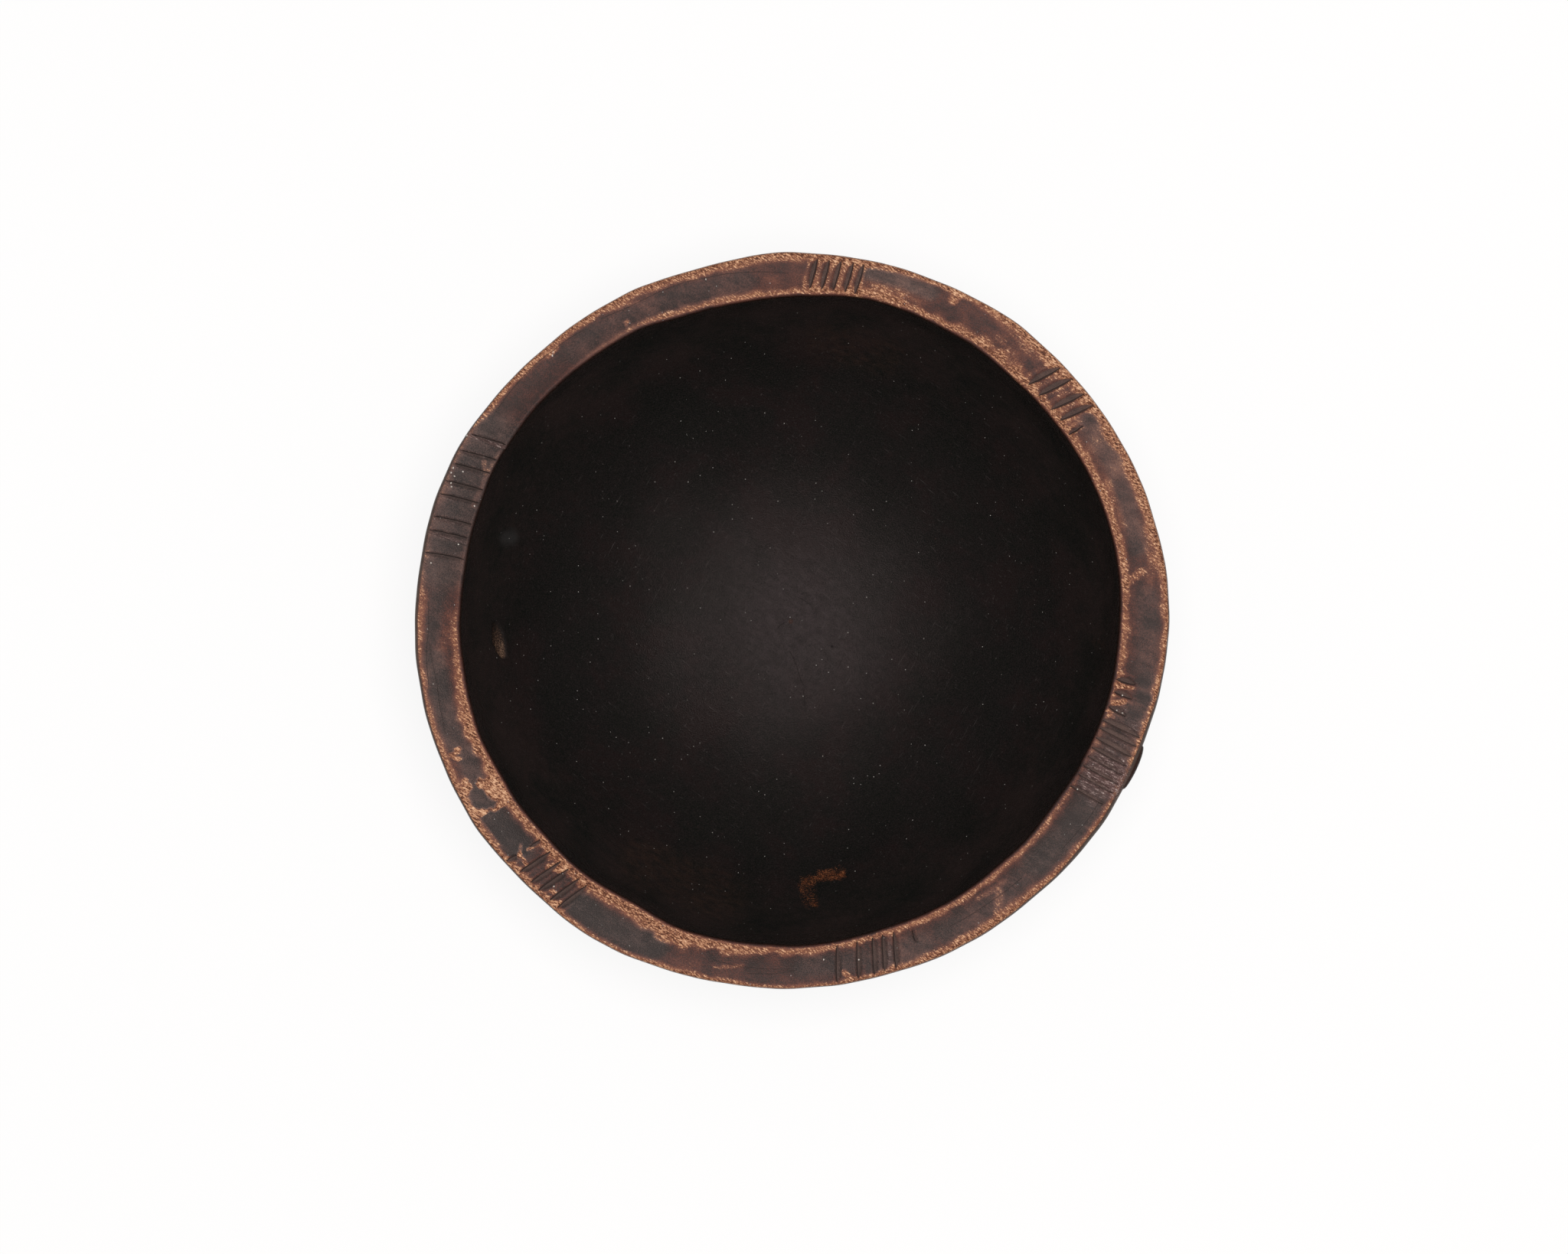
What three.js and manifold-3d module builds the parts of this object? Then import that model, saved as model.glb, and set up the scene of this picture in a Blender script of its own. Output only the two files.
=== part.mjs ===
// A wooden trinket dish, hollowed and carved by hand from one block of dark hardwood.
// It has a flat foot, a rounded wall, a broad flat rim with worn edges, six groups of knife cuts
// across the rim, a low lug under the rim on one side, and an old dent in the wall inside.
//
// Sizes are in millimetres and degrees. +Z is up, the middle of the flat foot is the origin, and
// bearings run counter-clockwise from +X, as seen from above.

import * as THREE from "three";
import { mergeVertices } from "three/addons/utils/BufferGeometryUtils.js";
import Module from "manifold-3d";

// The dish's height, and the oval of its rim, with the bearing of the oval's long axis.
const dishHeight = 58;
const rimLength = 152.3;
const rimBreadth = 148;
const ovalBearing = 13;

// How far the hand-cut rim swells outside its oval, at bearings round the dish.
const rimSwells = [
  [4, 0.35], [14, -0.05], [35, -0.3], [41, -0.3], [53, 0.2], [60, -0.05], [72, 0.03], [82, 0.12],
  [90, 0.45], [104, -0.38], [110, -0.4], [117, 0.05], [122, -0.16], [136, -0.14], [155, 0.55],
  [175, -0.22], [190, -0.02], [201, -0.2], [213, 0.16], [221, -0.22], [240, 0.45], [254, 0],
  [265, -0.05], [271, 0.18], [285, -0.13], [298, 0.1], [310, -0.24], [320, -0.14], [332, 0.1],
  [335, -0.2], [341, -0.32], [350, -0.02],
];

// The short flats that the knife left round the rim's outer edge, and how many degrees the
// corners between them wander.
const rimFlats = 56;
const flatWander = 1.1;

// The rim's width at bearings round the dish.
const rimWidths = [
  [0, 10.3], [15, 9.4], [32, 9.1], [42, 9.1], [50, 9.4], [60, 8.6], [76, 7.9], [92, 9.3],
  [106, 8.7], [124, 7.8], [138, 7.7], [150, 8.4], [160, 9.2], [180, 9.3], [190, 9.7],
  [200, 9.4], [210, 10.2], [228, 9.9], [240, 10.6], [252, 8.9], [275, 9], [290, 9.4],
  [302, 9.6], [314, 9.9], [328, 10.6], [342, 9.9], [350, 10.1],
];

// The top of the rim: how far it has sunk across the grain, how hollow it is cut between its
// edges, and how far its two edges are worn down and in.
const rimSag = 0.6;
const grainBearing = 25;
const faceHollow = 0.2;
const outerEdgeDrop = 2.4;
const outerEdgeReach = 0.6;
const innerEdgeDrop = 1.1;
const innerEdgeReach = 0.5;

// On one side the wall was left fuller than the top of the rim, and shows outside it.
const fullWallShow = 0.75;
const fullWallBearing = -32;
const fullWallSpread = 34;

// The foot: a flat oval to stand on, where the belly of the dish is cut off level.
const footLength = 62;
const footBreadth = 60;

// The wall outside and the hollow. A fullness of 2 is a round belly, and more is a squarer one.
const wallFullness = 2.3;
const hollowFullness = 2.5;
const floorThickness = 10;

// The lug under the rim, a low grip left standing on the wall. It rises from the wall in a short
// round shoulder one way along the rim, runs out the other way, and runs back into it below.
const lugBearing = -23.1;
const lugLength = 9.4;
const lugReach = 0.75;
const lugHeight = 15;
const lugBelowRim = 1;
const lugTopEdge = 0.3;
const lugRoot = 5;
const lugNarrowing = 0.3;
const lugShoulder = 0.8;
const lugRoundness = 0.6;

// The old dent in the wall inside.
const dentBearing = 184.4;
const dentBelowRim = 27;
const dentLength = 8;
const dentHeight = 5.5;
const dentDepth = 0.9;

// The knife cuts, in groups round the rim. A group has the bearing of the middle of each cut, how
// far its first and last cut lean from square across the rim, how far from the rim's outer edge
// they start, their length, and their width on top. The knife stood steeper on their side of
// smaller bearings.
const cutGroups = [
  {
    bearings: [86.7, 84.7, 82.8, 80.8, 79.1],
    leans: [-11, -6], start: 0.8, length: 6.7, width: 1.3,
  },
  {
    bearings: [44.5, 42, 38.9, 36.6],
    leans: [-17, -12], start: 0.4, length: 7.8, width: 1.3,
  },
  { bearings: [34.2], leans: [-2, -2], start: 4.5, length: 4, width: 1 },
  {
    bearings: [-9.9, -12.2, -15.1],
    leans: [-6, -15], start: 5, length: 4.3, width: 1.4,
  },
  {
    bearings: [-17.6, -19.1, -20.9],
    leans: [-8, -8], start: 1, length: 8.8, width: 1.5,
  },
  {
    bearings: [-22.7, -24.3, -26, -27.7],
    leans: [-6, -1], start: 1.2, length: 8.7, width: 1.2,
  },
  { bearings: [-30.1], leans: [0, 0], start: 1.6, length: 8.6, width: 1 },
  {
    bearings: [-82, -78.5, -75.8, -74.1, -72.1],
    leans: [-8, -14], start: 0.4, length: 8.1, width: 1.2,
  },
  { bearings: [-68.4], leans: [-3, -3], start: 4, length: 3.6, width: 0.7 },
  { bearings: [-138.7], leans: [-8, -8], start: 5.6, length: 3, width: 1 },
  { bearings: [-139.4], leans: [-12, -12], start: 0.4, length: 2.7, width: 1 },
  {
    bearings: [-136.4, -134, -132.2, -129.8, -128.1],
    leans: [-10, -15], start: 0.6, length: 8.2, width: 1.2,
  },
  {
    bearings: [149.3, 152.3, 154.7, 157.7, 160, 163.7, 166, 169.6],
    leans: [14, 0], start: 0.4, length: 8.7, width: 0.9,
  },
];

// A cut's depth, and how far its deepest line lies off its middle, as shares of its width, and
// how far over the rim the cutting shape starts.
const cutDepthShare = 0.5;
const cutSkewShare = 0.28;
const cutOverRim = 0.4;

// How finely the curved surfaces are divided.
const columns = 120;
const footSteps = 2;
const lugSteps = 12;
const lugFaceSteps = 12;
const wallSteps = 8;
const edgeSteps = 3;
const faceSteps = 4;
const hollowSteps = 9;
const cutSteps = 6;
const dentSteps = 12;

const darkHardwood = new THREE.MeshStandardMaterial({ color: 0x2b1b15, roughness: 0.55, metalness: 0 });

const { degToRad, euclideanModulo, lerp, smoothstep } = THREE.MathUtils;
const wasm = await Module();
wasm.setup();

function counted(count, make) {
  return Array.from({ length: count }, (_, i) => make(i));
}

function ovalRadius(length, breadth, bearing) {
  const turn = degToRad(bearing - ovalBearing);
  return 1 / Math.hypot(Math.cos(turn) / (length / 2), Math.sin(turn) / (breadth / 2));
}

// The entries of a closed list of [bearing, value] on either side of a bearing, with the angles
// back to the one and on to the other.
function eitherSide(list, bearing) {
  const ahead = ([at]) => euclideanModulo(at - bearing, 360);
  const next = list.reduce((a, b) => (ahead(b) < ahead(a) ? b : a));
  const last = list.reduce((a, b) => (ahead(b) > ahead(a) ? b : a));
  return { last, next, back: 360 - ahead(last), on: ahead(next) };
}

// A value from such a list, eased from each entry to the next.
function eased(list, bearing) {
  const { last, next, back, on } = eitherSide(list, bearing);
  return lerp(last[1], next[1], smoothstep(back, 0, back + on));
}

function swollenOval(bearing) {
  return ovalRadius(rimLength, rimBreadth, bearing) + eased(rimSwells, bearing);
}

function hollowRadius(bearing) {
  return swollenOval(bearing) - eased(rimWidths, bearing);
}

// The radius of the rim's outer edge, which runs straight from one corner to the next.
function rimRadius(bearing) {
  const corners = counted(rimFlats, (i) => {
    const at = (360 * i) / rimFlats + flatWander * Math.sin(i * i);
    return [at, swollenOval(at)];
  });
  const { last, next, back, on } = eitherSide(corners, bearing);
  const across = last[1] * Math.sin(degToRad(back)) + next[1] * Math.sin(degToRad(on));
  return (last[1] * next[1] * Math.sin(degToRad(back + on))) / across;
}

function rimTop(bearing) {
  return dishHeight - (rimSag * (1 - Math.cos(2 * degToRad(bearing - grainBearing)))) / 2;
}

// How far in from the wall the worn outer edge reaches.
function edgeReach(bearing) {
  const away = euclideanModulo(bearing - fullWallBearing + 180, 360) - 180;
  return outerEdgeReach + fullWallShow * Math.exp(-((away / fullWallSpread) ** 2));
}

// The points [out, up] of a quarter of an oval, or of the start of one, from its level end.
function quarterOval(out, up, fullness, steps, end = Math.PI / 2) {
  return counted(steps + 1, (i) => {
    const turn = (end * i) / steps;
    return [out * Math.cos(turn) ** (2 / fullness), up * Math.sin(turn) ** (2 / fullness)];
  });
}

function footProfile(foot) {
  return counted(footSteps + 1, (i) => [(i * foot) / footSteps, 0]);
}

// The wall's oval would end below the foot, and the foot cuts it off.
function wallProfile(foot, wall, shoulder) {
  const cut = (1 - (foot / wall) ** wallFullness) ** (1 / wallFullness);
  const end = Math.asin(cut ** (wallFullness / 2));
  return quarterOval(wall, shoulder / cut, wallFullness, wallSteps, end)
    .map(([out, down]) => [out, shoulder - down])
    .reverse()
    .slice(1);
}

function outerEdgeProfile(wall, shoulder, reach) {
  return quarterOval(reach, outerEdgeDrop, 2, edgeSteps)
    .map(([out, up]) => [wall - reach + out, shoulder + up])
    .slice(1);
}

function faceProfile(outer, inner, top) {
  return counted(faceSteps - 1, (i) => {
    const share = (i + 1) / faceSteps;
    return [lerp(outer, inner, share), top - faceHollow * Math.sin(Math.PI * share)];
  });
}

function innerEdgeProfile(hollow, lip) {
  return quarterOval(innerEdgeReach, innerEdgeDrop, 2, edgeSteps)
    .map(([out, up]) => [hollow + innerEdgeReach - out, lip + up])
    .reverse();
}

function hollowProfile(hollow, lip) {
  return quarterOval(hollow, lip - floorThickness, hollowFullness, hollowSteps)
    .map(([out, down]) => [out, lip - down])
    .slice(1);
}

// The dish's section at one bearing, from the middle of the foot, up and over the rim, to the
// middle of the floor.
function dishProfile(bearing) {
  const foot = ovalRadius(footLength, footBreadth, bearing);
  const wall = rimRadius(bearing);
  const top = rimTop(bearing);
  const shoulder = top - outerEdgeDrop;
  const reach = edgeReach(bearing);
  const hollow = hollowRadius(bearing);
  const lip = top - innerEdgeDrop;
  return [
    ...footProfile(foot),
    ...wallProfile(foot, wall, shoulder),
    ...outerEdgeProfile(wall, shoulder, reach),
    ...faceProfile(wall - reach, hollow + innerEdgeReach, top),
    ...innerEdgeProfile(hollow, lip),
    ...hollowProfile(hollow, lip),
  ];
}

// A surface that joins rings of points, closed where its first and last ring shrink to a point.
function joinRings(rings) {
  const around = rings[0].length;
  const index = [];
  for (let ring = 1; ring < rings.length; ring++) {
    for (let i = 0; i < around; i++) {
      const low = (ring - 1) * around;
      const high = ring * around;
      const next = (i + 1) % around;
      index.push(low + i, low + next, high + next, low + i, high + next, high + i);
    }
  }
  const surface = new THREE.BufferGeometry().setIndex(index);
  return surface.setAttribute("position", new THREE.Float32BufferAttribute(rings.flat(2), 3));
}

function dishSurface() {
  const bearings = counted(columns, (i) => (360 * i) / columns);
  const profiles = bearings.map(dishProfile);
  return joinRings(
    profiles[0].map((_, level) =>
      profiles.map((profile, i) => {
        const [radius, height] = profile[level];
        const turn = degToRad(bearings[i]);
        return [radius * Math.cos(turn), radius * Math.sin(turn), height];
      }),
    ),
  );
}

// One level of the lug in plan, with Y out of the wall and X against the bearings: round at its
// low end, and run out at its high end.
function lugLevel(share) {
  const half = (lugLength / 2) * (1 - lugNarrowing * share ** 2);
  const topEdge = share > 0 ? 0 : lugTopEdge;
  const face = counted(lugFaceSteps + 1, (i) => {
    const along = smoothstep(lugFaceSteps - i, 0, lugFaceSteps);
    const swell = Math.max(Math.sin(Math.PI * along ** lugShoulder), 0) ** lugRoundness;
    return [lerp(-half, half, along), lugReach * swell - topEdge - lugRoot * share ** 3];
  });
  return [[-half, -lugRoot - lugReach], [half, -lugRoot - lugReach], ...face];
}

function lugSurface() {
  const levels = counted(lugSteps + 1, (i) => lugLevel(1 - i / lugSteps));
  const rings = levels.map((level, i) => level.map(([x, y]) => [x, y, (i * lugHeight) / lugSteps]));
  const under = rings[0].map(() => rings[0][0]);
  const over = rings[0].map(() => rings[lugSteps][0]);
  return joinRings([under, ...rings, over])
    .translate(0, rimRadius(lugBearing), rimTop(lugBearing) - lugBelowRim - lugHeight)
    .rotateZ(degToRad(lugBearing) - Math.PI / 2);
}

// The shape that one knife cut takes away: a skewed wedge that runs out at both ends. Its X runs
// along the cut, and its Z is 0 on the rim.
function cutSurface({ length, width }) {
  const depth = cutDepthShare * width + cutOverRim;
  return joinRings(
    counted(cutSteps + 1, (i) => {
      const along = -Math.cos((Math.PI * i) / cutSteps);
      const size = Math.sqrt(1 - along ** 2);
      const half = ((width / 2) * size * depth) / (depth - cutOverRim);
      const x = (along * length) / 2;
      return [
        [x, -half, cutOverRim],
        [x, -2 * half * cutSkewShare, cutOverRim - size * depth],
        [x, half, cutOverRim],
      ];
    }),
  );
}

function placedCuts(group) {
  const last = Math.max(group.bearings.length - 1, 1);
  return group.bearings.map((bearing, i) => {
    const lean = lerp(group.leans[0], group.leans[1], i / last);
    const middle = rimRadius(bearing) - group.start - group.length / 2;
    return cutSurface(group)
      .rotateZ(degToRad(lean))
      .translate(middle, 0, rimTop(bearing) - faceHollow)
      .rotateZ(degToRad(bearing));
  });
}

// The dent: a shallow egg-shaped scoop, square to the wall that it lies in.
function dentSurface() {
  const hollow = hollowRadius(dentBearing);
  const lip = rimTop(dentBearing) - innerEdgeDrop;
  const depth = lip - floorThickness;
  const down = (dentBelowRim - innerEdgeDrop) / depth;
  const out = (1 - down ** hollowFullness) ** (1 / hollowFullness);
  const facing = Math.atan2(down ** (hollowFullness - 1) / depth, out ** (hollowFullness - 1) / hollow);
  return new THREE.SphereGeometry(1, dentSteps, dentSteps)
    .scale(dentDepth, dentLength / 2, dentHeight / 2)
    .rotateY(facing)
    .translate(out * hollow, 0, rimTop(dentBearing) - dentBelowRim)
    .rotateZ(degToRad(dentBearing));
}

// A closed surface as a solid, once the points that lie together are one and what shrank to
// nothing is left out.
function solidOf(surface) {
  surface.deleteAttribute("normal");
  surface.deleteAttribute("uv");
  const merged = mergeVertices(surface);
  const corners = Array.from(merged.index.array);
  const triVerts = counted(corners.length / 3, (i) => corners.slice(3 * i, 3 * i + 3))
    .filter(([a, b, c]) => a !== b && b !== c && c !== a)
    .flat();
  return new wasm.Manifold(
    new wasm.Mesh({
      numProp: 3,
      vertProperties: merged.attributes.position.array,
      triVerts: new Uint32Array(triVerts),
    }),
  );
}

function meshOf(solid, name, material) {
  const { vertProperties, triVerts } = solid.getMesh();
  const geometry = new THREE.BufferGeometry()
    .setAttribute("position", new THREE.BufferAttribute(vertProperties, 3))
    .setIndex(new THREE.BufferAttribute(triVerts, 1));
  geometry.computeVertexNormals();
  const mesh = new THREE.Mesh(geometry, material);
  mesh.name = name;
  return mesh;
}

const carved = [...cutGroups.flatMap(placedCuts), dentSurface()];
const bowl = carved.reduce(
  (solid, surface) => solid.subtract(solidOf(surface)),
  solidOf(dishSurface()).add(solidOf(lugSurface())),
);

export default new THREE.Group().add(meshOf(bowl, "bowl", darkHardwood));
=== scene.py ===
import math

import bpy
import numpy as np
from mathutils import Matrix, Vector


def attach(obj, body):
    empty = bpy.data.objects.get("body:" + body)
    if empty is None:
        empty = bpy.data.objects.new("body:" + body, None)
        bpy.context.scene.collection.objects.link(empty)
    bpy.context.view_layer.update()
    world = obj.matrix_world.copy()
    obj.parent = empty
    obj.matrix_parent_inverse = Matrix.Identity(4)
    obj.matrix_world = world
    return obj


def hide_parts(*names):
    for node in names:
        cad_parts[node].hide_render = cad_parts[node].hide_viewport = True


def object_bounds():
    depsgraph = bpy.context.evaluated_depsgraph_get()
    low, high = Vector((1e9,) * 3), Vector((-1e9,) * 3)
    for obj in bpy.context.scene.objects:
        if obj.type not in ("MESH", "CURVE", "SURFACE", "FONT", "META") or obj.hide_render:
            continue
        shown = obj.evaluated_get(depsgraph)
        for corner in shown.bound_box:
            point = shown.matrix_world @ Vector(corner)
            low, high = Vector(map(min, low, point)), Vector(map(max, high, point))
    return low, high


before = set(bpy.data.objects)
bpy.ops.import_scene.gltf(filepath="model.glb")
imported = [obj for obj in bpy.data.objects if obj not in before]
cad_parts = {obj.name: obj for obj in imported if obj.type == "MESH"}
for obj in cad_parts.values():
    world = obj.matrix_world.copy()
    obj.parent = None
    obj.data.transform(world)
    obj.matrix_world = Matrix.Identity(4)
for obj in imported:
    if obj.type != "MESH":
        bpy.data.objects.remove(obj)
cad_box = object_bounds()

# The camera
# It looks straight down on the dish, a little off its middle, from well above the rim. The
# width of the picture is set by the scale that the photograph has at the height of the rim.
mm = 0.001
picture_width = 2048
picture_height = 1638
dish_middle_x = 1033.3
dish_middle_y = 811.4
pixels_per_metre = 6500
camera_above_rim = 0.9
sensor_width = 36
rim_height = cad_box[1].z

lens = bpy.data.cameras.new("camera")
lens.sensor_width = sensor_width
lens.lens = sensor_width * camera_above_rim * pixels_per_metre / picture_width
camera = bpy.data.objects.new("camera", lens)
camera.location = (
    (picture_width / 2 - dish_middle_x) / pixels_per_metre,
    (dish_middle_y - picture_height / 2) / pixels_per_metre,
    rim_height + camera_above_rim,
)
bpy.context.scene.collection.objects.link(camera)
bpy.context.scene.camera = camera


# The block
# The dish is one block of dark, fine-grained hardwood. Its rim is a slightly swollen oval that
# the knife left in short flats, and bearings run counter-clockwise from +X, as seen from above.
rim_length = 152.3 * mm
rim_breadth = 148 * mm
oval_bearing = 13
rim_flats = 56
flat_wander = 1.1
rim_swells = [
    (4, .35), (14, -.05), (35, -.3), (41, -.3), (53, .2), (60, -.05), (72, .03), (82, .12),
    (90, .45), (104, -.38), (110, -.4), (117, .05), (122, -.16), (136, -.14), (155, .55),
    (175, -.22), (190, -.02), (201, -.2), (213, .16), (221, -.22), (240, .45), (254, 0),
    (265, -.05), (271, .18), (285, -.13), (298, .1), (310, -.24), (320, -.14), (332, .1),
    (335, -.2), (341, -.32), (350, -.02),
]
rim_widths = [
    (0, 10.3), (15, 9.4), (32, 9.1), (42, 9.1), (50, 9.4), (60, 8.6), (76, 7.9), (92, 9.3),
    (106, 8.7), (124, 7.8), (138, 7.7), (150, 8.4), (160, 9.2), (180, 9.3), (190, 9.7),
    (200, 9.4), (210, 10.2), (228, 9.9), (240, 10.6), (252, 8.9), (275, 9), (290, 9.4),
    (302, 9.6), (314, 9.9), (328, 10.6), (342, 9.9), (350, 10.1),
]
rim_sag = 0.6 * mm
sag_bearing = 25


def turned(bearing):
    """A bearing, or the difference of two, as the same turn between -180 and 180 degrees."""
    return (np.asarray(bearing, float) + 180) % 360 - 180


def eased(entries, bearing):
    """A value from a closed list of (bearing, value), eased from each entry to the next."""
    at, values = np.array(entries, float).T
    last = np.searchsorted(at, np.asarray(bearing, float) % 360, side="right") - 1
    back = (bearing - at[last]) % 360
    share = back / ((at[(last + 1) % len(at)] - at[last]) % 360)
    eased_share = share * share * (3 - 2 * share)
    return values[last] + (values[(last + 1) % len(at)] - values[last]) * eased_share


def oval_radius(length, breadth, bearing):
    turn = np.radians(bearing - oval_bearing)
    return 1 / np.hypot(np.cos(turn) / (length / 2), np.sin(turn) / (breadth / 2))


def swollen_oval(bearing):
    return oval_radius(rim_length, rim_breadth, bearing) + eased(rim_swells, bearing) * mm


def rim_radius(bearing):
    """The rim's outer edge, which runs straight from one corner of the flats to the next."""
    count = np.arange(rim_flats)
    corners = 360 * count / rim_flats + flat_wander * np.sin(count * count)
    reach = swollen_oval(corners)
    last = np.searchsorted(corners, np.asarray(bearing, float) % 360, side="right") - 1
    after = (last + 1) % rim_flats
    back = np.radians((bearing - corners[last]) % 360)
    on = np.radians((corners[after] - bearing) % 360)
    across = reach[last] * np.sin(back) + reach[after] * np.sin(on)
    return reach[last] * reach[after] * np.sin(back + on) / across


def hollow_radius(bearing):
    return swollen_oval(bearing) - eased(rim_widths, bearing) * mm


def rim_top(bearing):
    return rim_height - rim_sag * (1 - np.cos(2 * np.radians(bearing - sag_bearing))) / 2


# The columns of points that run over the dish from the foot to the floor of the hollow. The rim
# has two to a degree, and more where there are knife cuts, the lug or the dent.
cut_zones = [(76, 89), (33, 48), (-34, -7), (-85, -67), (-142, -126), (147, 171)]
dent_zone = (179, 190)
lug_zone = (-29, -17)


def within(bearing, zone):
    middle = (zone[0] + zone[1]) / 2
    return np.abs(turned(bearing - middle)) < (zone[1] - zone[0]) / 2


def parts_of(degree):
    """How many parts the columns split a degree of the rim into."""
    if any(within(degree + .5, zone) for zone in cut_zones):
        return 6
    return 4 if within(degree + .5, dent_zone) else 2


bearings = np.concatenate([
    degree + np.arange(parts_of(degree)) / parts_of(degree) for degree in range(360)
])
on_degree = bearings == np.floor(bearings)
all_columns = np.ones(len(bearings), bool)
few_columns = [on_degree & (bearings % step == 0) for step in (1, 2, 4, 8)]
lug_columns = on_degree | within(bearings, lug_zone)
dent_columns = on_degree | within(bearings, dent_zone)

# The corners between the flats are worn, so the radius of the wall is a mean over a few degrees.
corner_blur = np.array([-1.5, -.75, 0, .75, 1.5])
wall_radius = np.mean([rim_radius(bearings + shift) for shift in corner_blur], axis=0)
lip_radius = hollow_radius(bearings)
top_height = rim_top(bearings)


# The wall and the foot
# Outside, the block is rounded down to an oval foot, scraped slightly hollow. The knife took the
# wall down in long flat facets, and the foot's edge is worn round from standing and sliding.
foot_length = 62 * mm
foot_breadth = 60 * mm
foot_hollow = 0.3 * mm
foot_shares = [(.12, 3), (.3, 2), (.5, 1), (.7, 1), (.88, 0)]
foot_edge_round = 1.2 * mm
foot_edge_inset = 0.3 * foot_edge_round
foot_edge_height = 0.7
wall_fullness = 2.3
wall_steps = 30
upper_wall_steps = 14
outer_edge_drop = 2.4 * mm

foot_radius = oval_radius(foot_length, foot_breadth, bearings)
shoulder = top_height - outer_edge_drop


def quarter_oval(out, up, fullness, turn):
    """Points of a quarter of an oval, from its level end at turn 0 to its upright one."""
    return out * np.cos(turn) ** (2 / fullness), up * np.sin(turn) ** (2 / fullness)


# Each ring of points is its radii, its heights, and the columns that it has. The foot's rings lie
# at shares of its radius, and the inner ones have fewer columns. Two more round the foot's edge.
rings = []
for share, columns in foot_shares:
    raised = np.full(len(bearings), foot_hollow * (1 - share))
    rings.append((foot_radius * share, raised, few_columns[columns]))
cut_off = (1 - (foot_radius / wall_radius) ** wall_fullness) ** (1 / wall_fullness)
foot_turn = np.arcsin(cut_off ** (wall_fullness / 2))
for step in range(1, wall_steps + 1):
    turn = foot_turn * (1 - step / wall_steps)
    out, down = quarter_oval(wall_radius, shoulder / cut_off, wall_fullness, turn)
    columns = lug_columns if step > wall_steps - upper_wall_steps else few_columns[0]
    if step == 1:
        rings.append((foot_radius - foot_edge_round, np.zeros(len(bearings)), columns))
        edge_out, edge_up = (foot_radius + out) / 2, (shoulder - down) / 2
        rings.append((edge_out - foot_edge_inset, edge_up * foot_edge_height, columns))
    rings.append((out, shoulder - down, columns))
foot_rings = len(foot_shares) + 2
shoulder_ring = len(rings) - 1

# The rim
# A broad flat band, cut slightly hollow between its edges. Both edges are rounded by handling,
# the outer one over a fuller wall at the lower right.
outer_edge_reach = 0.6 * mm
full_wall_show = 0.75 * mm
full_wall_bearing = -32
full_wall_spread = 34
edge_steps = 6
face_hollow = 0.2 * mm
face_steps = 30
inner_edge_drop = 1.1 * mm
inner_edge_reach = 0.5 * mm
inner_edge_steps = 5

away = turned(bearings - full_wall_bearing) / full_wall_spread
edge_reach = outer_edge_reach + full_wall_show * np.exp(-away ** 2)
for step in range(1, edge_steps + 1):
    out, up = quarter_oval(edge_reach, outer_edge_drop, 2, math.pi / 2 * step / edge_steps)
    rings.append((wall_radius - edge_reach + out, shoulder + up, all_columns))
face_outer = wall_radius - edge_reach
face_inner = lip_radius + inner_edge_reach
for step in range(1, face_steps):
    share = step / face_steps
    sunk = face_hollow * math.sin(math.pi * share)
    rings.append((face_outer + (face_inner - face_outer) * share, top_height - sunk, all_columns))
lip = top_height - inner_edge_drop
for step in range(inner_edge_steps + 1):
    turn = math.pi / 2 * (1 - step / inner_edge_steps)
    out, up = quarter_oval(inner_edge_reach, inner_edge_drop, 2, turn)
    rings.append((lip_radius + inner_edge_reach - out, lip + up, all_columns))
lip_ring = len(rings) - 1

# The hollow
# It was cut out with a hooked knife and scraped smooth, so its surface only waves gently. The
# floor is 10 mm thick, and the wall turns up steeply to the lip.
floor_thickness = 10 * mm
hollow_fullness = 2.5
hollow_steps = 56
dent_bearing = 183.7
dent_below_rim = 26.4 * mm
dent_length = 8 * mm
dent_height = 4 * mm
dent_depth = 0.9 * mm
dent_lean = 0.32
dent_steps = 9
dent_rows_reach = 0.7
dent_rows_margin = 0.02
floor_rings = np.array([2.4, 1.4, .6]) * mm
fewer_columns_within = np.array([30, 14, 6]) * mm

lip_at_dent = float(rim_top(dent_bearing)) - inner_edge_drop
dent_centre = float(rim_top(dent_bearing)) - dent_below_rim
hollow_depth = lip_at_dent - floor_thickness
dent_rows = np.array([-dent_rows_reach, dent_rows_reach]) * dent_height
dent_span = dent_rows + (lip_at_dent - dent_centre)
dent_turns = np.arcsin((dent_span / hollow_depth) ** (hollow_fullness / 2))
floor_turns = np.arccos((floor_rings / float(lip_radius.mean())) ** (hollow_fullness / 2))
hollow_turns = np.union1d(
    math.pi / 2 * np.arange(1, hollow_steps) / hollow_steps,
    np.append(np.linspace(*dent_turns, dent_steps), floor_turns),
)
for turn in hollow_turns:
    out, down = quarter_oval(lip_radius, lip - floor_thickness, hollow_fullness, turn)
    near_dent = dent_turns[0] - dent_rows_margin < turn < dent_turns[1] + dent_rows_margin
    fewer = int((out.mean() < fewer_columns_within).sum())
    rings.append((out, lip - down, dent_columns if near_dent else few_columns[fewer]))

# The tool marks
# The knife took the wall down in flat facets, which still show, and the scraper left the hollow
# in gentle waves. The rings are arrays from here on: a row for each ring, a column each bearing.
radii = np.array([ring[0] for ring in rings])
heights = np.array([ring[1] for ring in rings])
ring_columns = np.array([ring[2] for ring in rings])
turns = np.radians(bearings)
ring_count = len(rings)


def placed(radii, heights):
    return np.stack([radii * np.cos(turns), radii * np.sin(turns), heights], axis=-1)


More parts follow.
